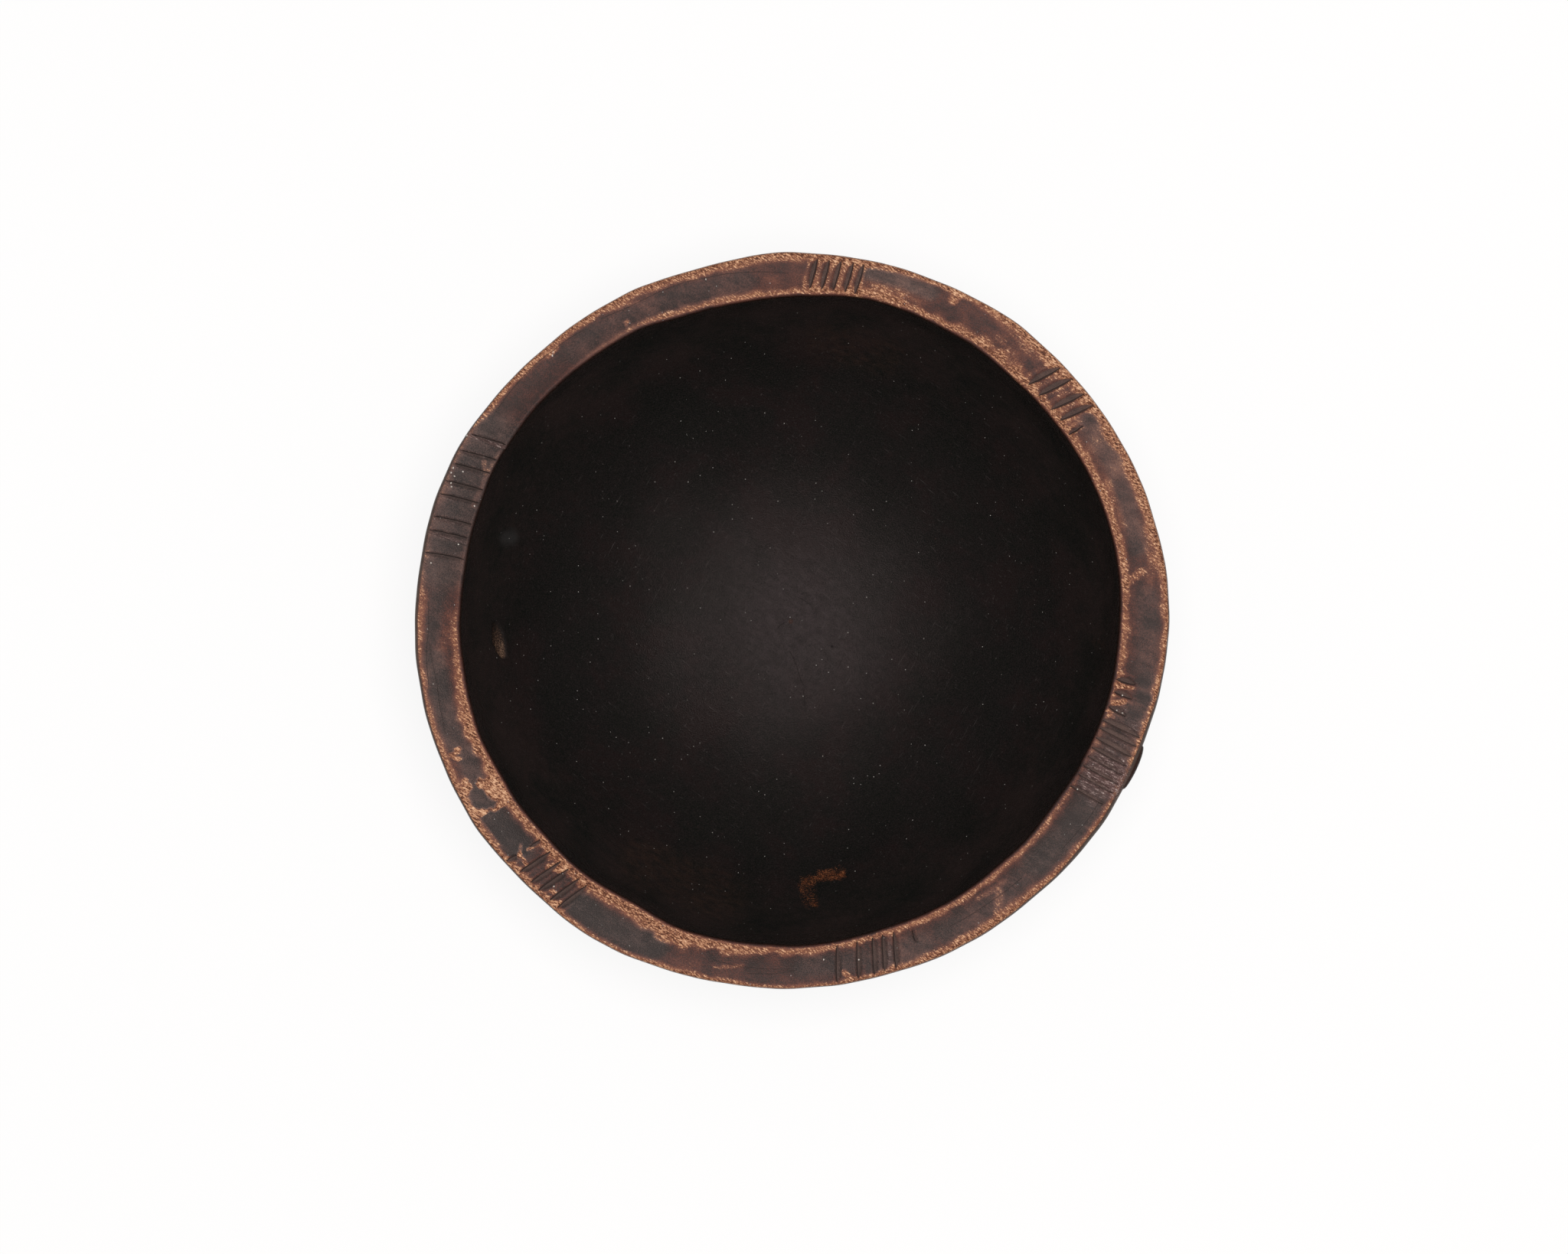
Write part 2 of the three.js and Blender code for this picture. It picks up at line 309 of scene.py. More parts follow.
def facing(points):
    """The direction that the surface faces at each point of the rings, from its neighbours."""
    around = np.roll(points, -1, axis=1) - np.roll(points, 1, axis=1)
    along = np.gradient(points, axis=0)
    across = np.cross(around, along)
    return across / np.maximum(np.linalg.norm(across, axis=-1, keepdims=True), 1e-12)


def facets(around, along, cells, size, seed):
    """How deep a knife's flat facets lie, from 0 on their borders to 1 in their middles. There
    are so many cells round the dish, and they are size long up and down it."""
    rows = 64
    draw = np.random.default_rng(seed)
    jitter = draw.uniform(-.32, .32, (rows, cells, 2))
    place = around / 360 * cells
    level = along / size
    nearest = np.full(place.shape, 9.)
    for up in (-1, 0, 1):
        row = np.floor(level).astype(int) + up
        shift = .5 * (row % 2)
        for side in (-1, 0, 1):
            column = np.floor(place - shift).astype(int) + side
            wander = jitter[row % rows, column % cells]
            off = place - shift - column - .5 - wander[..., 0], level - row - .5 - wander[..., 1]
            nearest = np.minimum(nearest, off[0] ** 2 + off[1] ** 2)
    return 1 - np.minimum(nearest / .5, 1)


def waves(x, y, length, count, seed):
    """Gentle random waves over the plan of the dish, about -1 to 1, of about that length."""
    draw = np.random.default_rng(seed)
    total = 0
    for _ in range(count):
        heading, phase, stretch = draw.uniform(0, 2 * math.pi, 2).tolist() + [draw.uniform(.7, 1.4)]
        run = x * math.cos(heading) + y * math.sin(heading)
        total = total + np.sin(2 * math.pi * run / (length * stretch) + phase)
    return total / math.sqrt(count)


points = placed(radii, heights)
normals = facing(points)
step_lengths = np.linalg.norm(np.diff(points, axis=0), axis=-1)
arc = np.concatenate([np.zeros((1, len(bearings))), np.cumsum(step_lengths, axis=0)])
ring_index = np.arange(ring_count)[:, None]

# x and y are views of the points, so they follow each step that moves the points.
x, y = points[..., 0], points[..., 1]
around = np.broadcast_to(bearings, radii.shape)

# The facets fade out at the shoulder and at the foot, and the waves fade in below the lip.
wall_facets_round = 34
wall_facet_depth = 0.3 * mm
wall_facet_length = 15 * mm
facet_fade_rings = 3
from_wall_end = np.minimum(ring_index - foot_rings, shoulder_ring - ring_index)
wall_share = np.clip(from_wall_end / facet_fade_rings, 0, 1)
facet_field = facets(around, arc, wall_facets_round, wall_facet_length, 11)
points -= normals * (wall_facet_depth * wall_share * facet_field)[..., None]
hollow_wave_depth = 0.26 * mm
hollow_wave_length = 26 * mm
wave_fade_rings = 8
hollow_share = np.clip((ring_index - lip_ring) / wave_fade_rings, 0, 1)
swell = .5 + .5 * waves(x, y, hollow_wave_length, 5, 5)
points -= normals * (hollow_wave_depth * hollow_share * swell)[..., None]

# The knife cuts
# Six groups of lopsided V-shaped cuts stand across the rim. The knife took out each chip in two
# strokes, and it stood steeper on the side of smaller bearings.

# Each entry has the bearings of its cuts, how far the first and the last of them lean, how far in
# from the outer edge they start, their length and width, how worn the ridges beside them are, and
# how dull the wood in them is. An uneven group takes several entries.
cut_groups = [
    ((86.7, 84.7, 82.8, 80.8, 79.1), (-11, -6), .8, 6.7, 1.3, .75, .65),
    ((44.5, 42, 38.9, 36.6), (-17, -12), .4, 7.8, 1.6, .5, .7),
    ((34.2,), (-2, -2), 4.5, 4, 1, .5, .5),
    ((-9.9, -12.2, -15.1), (-6, -15), 5, 4.3, 1.4, .5, .6),
    ((-17.6, -19.1, -20.9), (-8, -8), 1, 8.8, 1.5, .1, .9),
    ((-22.7, -24.3, -26, -27.7), (-6, -1), 1.2, 8.7, 1.2, .2, .8),
    ((-30.1,), (0, 0), 1.6, 8.6, 1, .1, .8),
    ((-82, -78.5, -75.8, -74.1, -72.1), (-8, -14), .4, 8.1, 1.2, .25, .6),
    ((-68.4,), (-3, -3), 4, 3.6, .7, .15, .3),
    ((-138.7,), (-8, -8), 5.6, 3, 1, .5, .6),
    ((-139.4,), (-12, -12), .4, 2.7, 1, .6, .6),
    ((-136.4, -134, -132.2, -129.8, -128.1), (-10, -15), .6, 8.2, 1.2, .55, .6),
    ((149.3, 152.3, 154.7, 157.7, 160, 163.7, 166, 169.6), (14, 0), .4, 8.7, .9, .05, .3),
]
cut_depth_share = 0.5
cut_skew_share = 0.28
cut_over_rim = 0.4 * mm
cut_straightness = 0.7
valley_end = 1.3
ridge_end = 1.05
ridge_place = 0.75
ridge_spread = 0.35

rim = slice(shoulder_ring - 2, lip_ring + 3)
rim_x, rim_y, rim_z = points[rim, :, 0], points[rim, :, 1], points[rim, :, 2]
uncut = rim_z.copy()
ridge = np.zeros(rim_z.shape)
valley_off = np.full(rim_z.shape, 9 * mm)
dulled = np.zeros(rim_z.shape)


def cut_into(bearing, lean, start, length, width, worn, dull):
    """Takes one cut out of the rim, and notes the ridges that stand beside it."""
    turn = math.radians(bearing)
    middle = float(rim_radius(bearing)) - start - length / 2
    out = rim_x * math.cos(turn) + rim_y * math.sin(turn) - middle
    side = rim_y * math.cos(turn) - rim_x * math.sin(turn)
    lean = math.radians(lean)
    run = (out * math.cos(lean) + side * math.sin(lean)) / (length / 2)
    size = np.sqrt(np.maximum(1 - run * run, 0))
    straight = cut_straightness * width / 2 * (size - 1)
    across = side * math.cos(lean) - out * math.sin(lean) - straight
    depth = cut_depth_share * width + cut_over_rim
    half = np.maximum(width / 2 * size * depth / (depth - cut_over_rim), 1e-9)
    lowest = -2 * half * cut_skew_share
    steep, gentle = (across + half) / (lowest + half), (half - across) / (half - lowest)
    share = np.where(across < lowest, steep, gentle)
    base = float(rim_top(bearing)) - face_hollow + cut_over_rim
    inside = (size > 0) & (np.abs(across) < half)
    rim_z[inside] = np.minimum(rim_z, base - share * size * depth)[inside]
    off = lowest - across
    nearest = (np.abs(run) < valley_end) & (np.abs(off) < np.abs(valley_off))
    valley_off[nearest] = off[nearest]
    dulled[inside] = dull
    beside = np.exp(-((np.abs(across) / (ridge_place * width) - 1) / ridge_spread) ** 2)
    np.maximum(ridge, worn * beside * (np.abs(run) < ridge_end), out=ridge)


for group_bearings, leans, start, length, width, worn, dull in cut_groups:
    last = max(len(group_bearings) - 1, 1)
    for place, bearing in enumerate(group_bearings):
        lean = leans[0] + (leans[1] - leans[0]) * place / last
        cut_into(bearing, lean, start * mm, length * mm, width * mm, worn, dull)
cut_depth = uncut - rim_z

# The lug
# A low grip, left standing when the wall was cut down. It rises in a short round shoulder one
# way along the rim, runs out the other way, and runs back into the wall below.
lug_bearing = -23.1
lug_length = 9.4 * mm
lug_reach = 0.75 * mm
lug_height = 15 * mm
lug_below_rim = 1 * mm
lug_top_edge = 0.3 * mm
lug_top_fade = 12
lug_root = 5 * mm
lug_narrowing = 0.3
lug_shoulder = 0.8
lug_roundness = 0.6

lug_wall = float(rim_radius(lug_bearing))
lug_top = float(rim_top(lug_bearing)) - lug_below_rim
lug_turn = np.radians(turned(bearings - lug_bearing))
share = np.clip((lug_top - points[..., 2]) / lug_height, 0, 1)
half = lug_length / 2 * (1 - lug_narrowing * share ** 2)
edge = lug_top_edge * np.clip(1 - share * lug_top_fade, 0, 1)
side = -np.broadcast_to(lug_turn, share.shape) * lug_wall
along = np.clip((half + side) / (2 * half), 0, 1)
swell = np.maximum(np.sin(math.pi * along ** lug_shoulder), 0) ** lug_roundness
face = lug_wall + lug_reach * swell - edge - lug_root * share ** 3
lug_out = np.where((np.abs(side) < half) & (share > 0) & (share < 1), face / np.cos(lug_turn), 0)
out_now = np.hypot(x, y)
on_lug = (lug_out > out_now) & (ring_index <= shoulder_ring + edge_steps)
points[..., :2] *= np.where(on_lug, lug_out / np.maximum(out_now, 1e-6), 1)[..., None]

# The dent
# Something hard was once knocked against the wall inside. It left a shallow leaning oval scoop,
# square to the wall, where the wood shows brown.
down_share = (dent_below_rim - inner_edge_drop) / hollow_depth
out_share = (1 - down_share ** hollow_fullness) ** (1 / hollow_fullness)
slope_out = out_share ** (hollow_fullness - 1) / float(hollow_radius(dent_bearing))
slope_up = down_share ** (hollow_fullness - 1) / hollow_depth
dent_facing = math.atan2(slope_up, slope_out)
dent_turn = math.radians(dent_bearing)
dent_out = out_share * float(hollow_radius(dent_bearing))
out = x * math.cos(dent_turn) + y * math.sin(dent_turn) - dent_out
side = y * math.cos(dent_turn) - x * math.sin(dent_turn)
up = points[..., 2] - dent_centre
upwards = up * math.cos(dent_facing) + out * math.sin(dent_facing)
leaning = upwards + dent_lean * side
off = (side / (dent_length / 2)) ** 2 + (leaning / (dent_height / 2)) ** 2
in_hollow = ring_index > lip_ring
dent = np.where(in_hollow, np.sqrt(np.maximum(1 - off, 0)), 0)
points -= normals * (dent_depth * dent)[..., None]
dent_end = in_hollow * np.clip(.5 + side / dent_length, 0, 1)

# The wear
# Handling has rubbed the dark polish off both edges of the rim down to the tan wood. Flakes of
# it are lost at the lower left and upper right, and elsewhere it stands thick and dark.
outer_wear = [
    (0, .65), (15, .98), (35, 1.05), (50, 1.08), (62, .72), (75, .9), (95, .82), (110, .82),
    (125, .85), (143, .8), (151, .34), (165, .28), (180, .48), (195, .68), (212, 1), (225, .7),
    (240, .62), (258, .86), (270, .52), (285, .75), (300, .84), (315, .6), (330, .75), (345, .75),
]
outer_wear_widths = [
    (0, 1.3), (12, 1.5), (28, 1.7), (44, 1.7), (54, 1.2), (66, .8), (78, 1.2), (95, 1.6),
    (112, 1.5), (130, 1.1), (142, 1.1), (150, 1), (165, 1.6), (180, 1.7), (192, 1.1), (205, 1.5),
    (214, 1.7), (224, 1.2), (235, .9), (250, .8), (268, .6), (280, .8), (292, 1.4), (305, 1.7),
    (318, 1.6), (328, 1.2), (338, 1.2), (350, 1.4),
]
# How wide the grey strip on the outer edge is, in millimetres: partly dark polish, partly painted
# sheen.
edge_polish_sheen_widths = [
    (0, .3), (15, .15), (40, .1), (62, .1), (90, .1), (125, .1), (145, .3), (160, .6),
    (178, .75), (190, .6), (205, .5), (222, .4), (240, .2), (262, .15), (285, .2), (300, .3),
    (315, .5), (325, .9), (335, .9), (343, .7), (352, .35),
]
inner_wear = [
    (0, .65), (15, .78), (30, .76), (44, .82), (54, .8), (66, .72), (75, .72), (84, .78),
    (98, .7), (112, .65), (122, .5), (132, .38), (145, .18), (160, .12), (175, .3), (188, .6),
    (205, .95), (215, .82), (238, .98), (250, .85), (262, .75), (285, .65), (300, .65),
    (312, .58), (324, .52), (335, .3), (345, .45), (354, .65),
]
inner_wear_widths = [
    (0, 1.5), (15, 1.5), (30, 1.3), (44, 1.3), (54, 2.3), (66, 1.3), (75, 2), (84, 1), (98, 1.3),
    (112, 1.4), (122, .9), (132, .6), (145, .4), (160, .4), (175, .7), (188, 1.8), (198, 2.5),
    (205, 1.7), (210, 2.8), (216, 1.8), (238, 2.1), (248, 3), (257, 2.1), (268, 1.5), (285, 1.3),
    (300, 1.3), (312, 1.5), (324, 1.6), (335, .9), (345, 1.2), (354, 1.6),
]
middle_wear = [
    (0, .18), (15, .21), (30, .29), (45, .27), (55, .22), (62, .16), (75, .36), (85, .27),
    (95, .19), (108, .13), (125, .1), (140, .12), (152, .13), (165, .1), (180, .18), (195, .14),
    (212, .1), (226, .12), (240, .1), (255, .24), (270, .12), (285, .13), (300, .2), (315, .02),
    (330, .04), (345, .1),
]


def smooth(value, low, high):
    """0 below low and 1 above high, eased between them."""
    share = np.clip((value - low) / (high - low), 0, 1)
    return share * share * (3 - 2 * share)


# The wear of a band fades out between these shares of its width, and a little further in.
wear_fade = (0.55, 1.45)
outer_fade_more = 0.6 * mm
inner_fade_more = 0.5 * mm

radius_now = np.hypot(x, y)
from_outer = wall_radius - radius_now
from_inner = radius_now - lip_radius
outer_width = eased(outer_wear_widths, bearings) * mm * (1 + .16 * waves(x, y, 6 * mm, 6, 21))
inner_width = eased(inner_wear_widths, bearings) * mm * (1 + .16 * waves(x, y, 5 * mm, 6, 22))
polish_sheen_width = eased(edge_polish_sheen_widths, bearings) * mm
outer_band = smooth(from_outer, polish_sheen_width - .12 * mm, polish_sheen_width + .15 * mm)
outer_end = wear_fade[1] * outer_width + outer_fade_more
outer_band *= 1 - smooth(from_outer, wear_fade[0] * outer_width, outer_end)
inner_band = smooth(from_inner, .1 * mm, mm)
inner_end = wear_fade[1] * inner_width + inner_fade_more
inner_band *= 1 - smooth(from_inner, wear_fade[0] * inner_width, inner_end)
on_rim = (ring_index > shoulder_ring) & (ring_index < lip_ring + 2)

# Strokes of wear, each from one (bearing, millimetres in from the outer edge) to another, with
# its width in millimetres and how much more worn, or less worn, the rim is there.
strokes = [
    (44, 7, 52, 6.6, 1.8, .16), (48, 5.8, 56, 4.2, 1.2, .12), (47, 3.2, 55, 1.8, 1.6, .14),
    (61.5, .6, 64.6, .7, 1, .3), (63, .8, 63.2, 2.4, 2.1, .6), (70, 3, 78, 2.6, 1.6, -.15),
    (66, 2, 76, 1.4, 1.4, -.12), (68, 5.4, 77, 4.8, 1, .14), (6.5, 8.5, 8, 5.2, 1.8, .38),
    (5, 4.4, 10, 2.4, 2, .22), (11, 3, 16, 3.4, 1.6, .16), (16, 6.4, 24, 6.2, 1.4, .15),
    (0, 3.6, 4, 4.8, 3.4, -.08), (118.6, 5.2, 119, 5.4, .9, .5), (115.8, 2.8, 117, 2.6, 1, .22),
    (130.6, 1.8, 132.6, 2, .9, .4), (154, 7.2, 152.6, 6.2, 1.2, .3), (160, 7.8, 150, 7.8, 1, .2),
    (172, 4.6, 182, 3.4, 3, -.05), (182, 6, 187, 4.6, 2.6, .12), (188, 4.3, 199, 4.3, 3, -.08),
    (201.1, 4.4, 201.6, 2.6, .9, 1.1), (201.6, 2.3, 202.6, 3.6, .6, .9),
    (202.4, 4, 202.8, 2.4, .5, .6), (206, 3, 207.6, 2.2, 1.1, 1.1),
    (207.2, 3.4, 207.9, 1.8, .8, .9), (206.8, 5.8, 207.8, 4.8, .7, .9),
    (208.1, 5.8, 210.4, 7, 2.4, 1), (208, 7.6, 212, 8.2, 1.8, .7),
    (208.9, 4.2, 210.2, 3.4, 2.4, -1), (210.8, 1.2, 211.8, 2.8, 1.5, 1.2),
    (211.6, 2.8, 212.5, 5.6, .8, 1.1), (212.5, 5.4, 212.2, 7, 1, .9),
    (213.8, 4.1, 219, 4.1, 4.4, -.7), (215.6, 3.2, 217, 5, .5, .45),
    (213.6, 2.2, 217.6, 1.9, .6, .4), (219.6, 5, 220.8, 3.2, .9, 1), (220.6, 3.6, 223, 3, .7, .7),
    (220.9, 5.4, 221.4, 7.4, .8, .6), (225.4, 6, 227.4, 7.4, 1.5, .6),
    (228.4, 2.6, 228.8, 3, .8, .6), (229.4, .8, 230.6, 2, 1, .5), (234, 4.2, 247, 3.6, 4.4, -.3),
    (252, 6.4, 247, 5.8, 1.6, .2), (257.4, 3, 262, 4.2, .8, .2), (263, 4.4, 276, 4.6, 3.4, -.05),
    (278.6, 2.6, 279.6, .8, 1.2, .5), (290, 4.6, 303, 5, 3, -.06),
    (305.2, 2.2, 307.6, 5.4, 1.8, .3), (304, 6.8, 309, 6.4, 1.2, .25),
    (346.4, 6.6, 345.8, 8.4, 1.2, .6), (348.9, 6, 348.8, 8.2, .8, .6),
    (343.4, 7.6, 343.7, 8.6, .8, .4), (350.4, 1.6, 350.3, 5, 1.1, -.12),
    (347.8, 1.6, 347.9, 5, 1.1, -.12), (345, 1.6, 345, 5, 1.1, -.12),
    (349.1, 1, 349, 5.4, .8, .12), (346.4, 1, 346.5, 5.4, .8, .12),
]


def near_line(across, up, start, end, width):
    """How near places are to a line, from 0 to 1, fading about half its width to each side."""
    run, rise = end[0] - start[0], end[1] - start[1]
    share = ((across - start[0]) * run + (up - start[1]) * rise) / (run ** 2 + rise ** 2)
    share = np.clip(share, 0, 1)
    off = np.hypot(across - start[0] - share * run, up - start[1] - share * rise)
    return 1 - smooth(off, .25 * width, .75 * width)


stroke_reach = 60


def near_stroke(from_bearing, from_inset, to_bearing, to_inset, width):
    """How near the rim's points are to a stroke, from 0 to 1, measured along and across it."""
    run = np.radians(turned(bearings - from_bearing)) * wall_radius
    length = math.radians(float(turned(to_bearing - from_bearing))) * rim_length / 2
    near = np.abs(turned(bearings - from_bearing)) < stroke_reach
    ends = (0, from_inset * mm), (length, to_inset * mm)
    return near * near_line(run, from_outer, *ends, width * mm)


middle_tone = eased(middle_wear, bearings) * (1 + .3 * waves(x, y, 6 * mm, 7, 31))
edge_wear = np.maximum(
    eased(outer_wear, bearings) * outer_band, eased(inner_wear, bearings) * inner_band
)
worn = middle_tone + edge_wear * (1 - middle_tone)
outer_ridges_reach = 3.6 * mm
inner_ridges_reach = 4.2 * mm
ridges = np.zeros(worn.shape)
ridges[rim] = ridge
near_edge = np.maximum(1 - from_outer / outer_ridges_reach, 1 - from_inner / inner_ridges_reach)
worn += ridges * (.25 + .45 * np.clip(near_edge, 0, 1))
for *stroke, amount in strokes:
    worn += amount * near_stroke(*stroke)

# The wood inside the cuts is hardly rubbed, and below this depth it is all dull.
full_cut_depth = 0.35 * mm
most_worn = 1.4
depth_now = np.zeros(worn.shape)
depth_now[rim] = cut_depth
valley_now = np.full(worn.shape, 9.)
valley_now[rim] = valley_off / mm
in_cut = smooth(depth_now, 0, full_cut_depth)
worn = np.where(on_rim, np.clip(worn, 0, most_worn) * (1 - .75 * in_cut), 0)
dull_now = np.zeros(worn.shape)
dull_now[rim] = dulled

# Old scored lines, most of them along the rim, cut with the point of a knife. Each runs through
# places given as (bearing, millimetres in from the outer edge).
score_overlap = 0.06
scores = [
    [(144, 2.1), (141, 1.8), (138, 1.6), (134, 1.45), (130, 1.7), (127, 2), (125, 2.3)],
    [(122, 2.2), (117.5, 2.85), (115, 2.85), (112, 2.4), (107, 2.1), (104, 2.4), (101, 2.6),
     (98, 3.1), (94, 3.9), (90.5, 4.5)],
    [(190, 1.9), (187, 2.2), (184, 2.5), (181.5, 2.95), (177, 2.8)],
    [(198, 2.8), (195, 3.3), (190, 3.6), (184, 3.2)],
    [(271, 3.9), (267, 3.1), (263, 2.8)], [(270, 4.2), (262, 3.9), (257, 4.4)],
    [(312, 4.7), (305, 4.9), (298, 4.9)], [(329.5, 3.2), (325, 3.1), (320, 3.4)],
    [(166.9, 8.4), (166.3, 1.2)], [(149.2, 8.2), (149.8, 4.4)],
]
scored = np.zeros(worn.shape)
score_off = np.full(worn.shape, 9.)
for score in scores:
    for start, end in zip(score, score[1:]):
        run = np.radians(turned(bearings - start[0])) * wall_radius / mm
        across = from_outer / mm - start[1]
        length = math.radians(end[0] - start[0]) * rim_length / 2 / mm
        rise = end[1] - start[1]
        off = (across * length - run * rise) / math.hypot(length, rise)
        share = (run * length + across * rise) / (length ** 2 + rise ** 2)
        beside = (share > -score_overlap) & (share < 1 + score_overlap) & on_rim
        nearest = beside & (np.abs(off) < np.abs(score_off))
        score_off[nearest] = off[nearest]
        scored = np.maximum(scored, nearest * (1 - smooth(np.abs(off), .5, 1)))

# Near the lug and beside some cuts the rim is scuffed pale, specks of pale dust are caught in the
# polish, and in places its red-brown has gone smoky grey. Scuffs and smoky places are strokes as
# above, with how strong they are, and a speck is (bearing, millimetres in from the outer edge).
scuffs = [
    (332.4, 2.3, 336, 2.8, 4, 1), (331.6, 6.4, 335.4, 6.6, 4.2, 1), (338, 5.5, 343, 3, 2.6, .3),
    (329.6, 4.5, 331.4, 5.5, 3, .5), (149.9, .8, 149.2, 4.5, .9, .8), (149.3, 5, 148.6, 8, 1, .8),
    (152.7, 1, 151.8, 5.5, .7, .5), (155.4, 1, 154.8, 6, .5, .3), (166.3, 2, 166.5, 8, .8, .45),
    (160.4, 1, 160.2, 4, .6, .3), (163.9, 2, 163.6, 7, .5, .3), (285.6, 1, 287.4, 7.4, .7, .3),
    (277.4, .8, 278.4, 7.6, .6, .35), (345, 5.6, 344.6, 8, .8, .6),
]
specks = [
    (143.8, 2.5), (150.2, .4), (160, 8.1), (158.4, 2.3), (157.9, 1.9), (156.4, 1.1), (155.6, 1.1),
    (156.7, 2), (155.5, 3.2), (170.8, 2.3), (167, 7.1), (131.6, 1.9), (131.2, 2), (132, 2.4),
    (104, 2.7), (118.8, 5.2), (189.9, 2.9), (194.7, 1.8), (204.9, 6.5), (215.9, 3.8), (264.2, 3),
    (238.3, 3.1), (228.2, 3.7), (298.7, 4.8), (281.3, 4.4), (275.5, 5.6), (75.6, 5.2), (70.4, 5),
    (65.3, 4.2), (347.4, 7.3), (344.5, 6.2), (344.7, 7.4), (329.6, 8.2), (324.9, 3.3), (324.1, 5.3),
]
smoky = [
    (148, 4.5, 171, 4.5, 10, .85), (67, 2.8, 77.5, 2.6, 3, .8), (336.5, 4.5, 343.5, 4.5, 9, .6),
    (344.5, 2.6, 351, 3.2, 3.4, .6), (284, 3.4, 292, 4, 5, .6), (272, 4.4, 281, 4.6, 4, .6),
    (12, 4.8, 25, 4, 3.6, .6), (26, 3.4, 33.5, 3.6, 4.8, .6), (315, 5, 329, 4.6, 5.4, .8),
    (186, 3.8, 200, 4.2, 4.4, .8), (202, 5.4, 206, 5, 4, .8), (209, 4, 212, 4, 5, .9),
    (213.5, 4.6, 220, 4.6, 5, .9), (233, 4.4, 247, 4, 5, .9), (98, 5, 128, 5, 4.6, .45),
    (296, 4.5, 314, 4.6, 4.4, .5), (353, 4, 364, 4.6, 4.6, .45), (174, 4.6, 184, 3.6, 3, .5),
]
speck_reach = 0.7 * mm


def stroked(marks_made):
    """The strongest of some strokes at each point of the rim."""
    strongest = np.zeros(worn.shape)
    for *stroke, amount in marks_made:
        strongest = np.maximum(strongest, np.where(on_rim, amount * near_stroke(*stroke), 0))
    return strongest


scuffed = stroked(scuffs)
smoked = stroked(smoky)
specked = np.zeros(worn.shape)
for bearing, inset in specks:
    beside = np.radians(turned(bearings - bearing)) * wall_radius
    speck = 1 - np.hypot(beside, from_outer - inset * mm) / speck_reach
    specked = np.maximum(specked, np.where(on_rim, speck, 0))

# In the hollow are a patch where the polish has come off, three brown stains and a small knock.
# Each is lines from one (x, y) in millimetres to another, with a width and how strong they are.
hollow_marks = {
    "patch": [
        (2.8, -54.2, 7, -53, 2.4, .7), (7, -53, 10.6, -52.5, 2.6, .72), (3.2, -55, 4, -57.6, 4, .5),
        (4.8, -58.8, 5.4, -58.4, 1.2, .8),
    ],
    "stain": [(-31, -50, -14, -57, 9, .8), (7, 58, 20, 55, 7, .6), (62.9, -4.2, 63.7, -5, 1.6, 1)],
    "knock": [(-58.7, 17.1, -57.9, 17.5, 2.6, .8)],
}
marks = {}
for name, lines in hollow_marks.items():
    marks[name] = np.zeros(worn.shape)
    for *ends, width, amount in lines:
        start, end = np.array(ends[:2]) * mm, np.array(ends[2:]) * mm
        mark = amount * near_line(x, y, start, end, width * mm)
        marks[name] = np.maximum(marks[name], np.where(in_hollow, mark, 0))

# Outside, the ridges between the knife's facets are rubbed, and the foot's edge more so.
ridge_rub = 0.45
foot_rub = 0.9
foot_rub_reach = 1.8 * mm
foot_off = np.hypot(radius_now - foot_radius, points[..., 2]) / foot_rub_reach
wall_rub = ridge_rub * wall_share * (1 - facet_field) ** 3 + foot_rub * np.exp(-foot_off ** 2)
wall_rub = np.where(ring_index <= shoulder_ring, wall_rub, 0)

# The skin
# All of the dish's surface is one closed skin. Its rings of points are joined where they have
# columns in common, and a point each closes the middle of the foot and that of the floor.
number = np.full(ring_columns.shape, -1)
number[ring_columns] = np.arange(ring_columns.sum())
vertices = points[ring_columns].tolist()
foot_middle = len(vertices)
floor_middle = foot_middle + 1
vertices += [(0, 0, foot_hollow), (0, 0, float(points[-1, ring_columns[-1], 2].mean()))]

# The layout of the finish: the foot and wall on one disc, the hollow on another, and the band
# of the rim in four strips above them.
disc_radius = 0.243
disc_middles = {"wall": (0.25, 0.25), "hollow": (0.75, 0.25)}
strip_gap = 0.012
strip_height = 0.112
strip_base = 0.512
reach = radii[:1] + arc
band_low = shoulder_ring - 1
band_high = lip_ring + 1
from_floor = reach[-1:] + radii[-1:] - reach
disc_shares = {"wall": reach / reach[band_low], "hollow": from_floor / from_floor[band_high]}
band_share = (reach - reach[band_low]) / (reach[band_high] - reach[band_low])


def spot_of(zone, quarter, ring, column):
    """Where a corner of a face lies in the layout."""
    if zone == "rim":
        along = (bearings[column] - 90 * quarter) / 90
        if quarter == 3 and column == 0:
            along = 1
        low = strip_base + quarter * (strip_height + strip_gap / 2)
        return .01 + .98 * along, low + strip_height * band_share[ring, column]
    middle = disc_middles[zone]
    if ring in (-1, ring_count):
        return middle
    out = disc_radius * disc_shares[zone][ring, column]
    turn = turns[column] if zone == "hollow" else -turns[column]
    return middle[0] + out * math.cos(turn), middle[1] + out * math.sin(turn)


faces, spots = [], []


def add_face(corners, zone, quarter):
    """Keeps a face, and where each of its corners lies in the layout."""
    faces.append([point for point, _, _ in corners])
    spots.extend(spot_of(zone, quarter, ring, column) for _, ring, column in corners)


def corner(ring, column):
    """A corner of a face: its point, its ring and its column."""
    return int(number[ring, column]), ring, column


